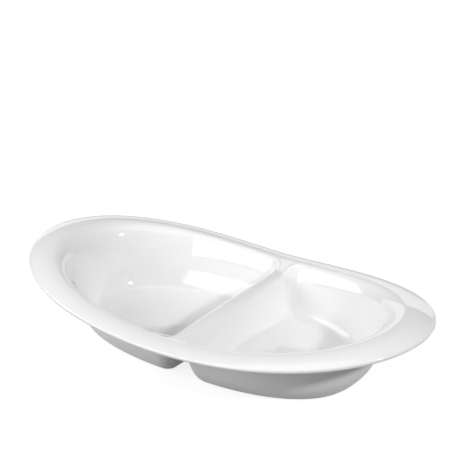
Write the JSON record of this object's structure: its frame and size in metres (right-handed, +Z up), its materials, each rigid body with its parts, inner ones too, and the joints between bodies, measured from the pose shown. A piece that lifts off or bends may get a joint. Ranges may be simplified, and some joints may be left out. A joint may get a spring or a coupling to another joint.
{
  "type": "divided serving bowl",
  "caption": "Long oval serving bowl, moulded in one piece, with a saddle-shaped rim with a rounded lip and a raised divider between deep flat-floored wells.",
  "frame": {"origin": "under the middle of the bowl, on the surface that it stands on", "axes": "+X along the length towards the smaller well, +Z up out of the wells"},
  "size_m": [0.455, 0.255, 0.0778],
  "materials": {
    "bowl_body": "smooth high gloss"
  },
  "bodies": {
    "root": {"rim_lip": "bowl_body", "rim_flange": "bowl_body", "divider": "bowl_body", "left_wall": "bowl_body", "left_floor": "bowl_body", "right_wall": "bowl_body", "right_floor": "bowl_body"}
  },
  "joints": []
}
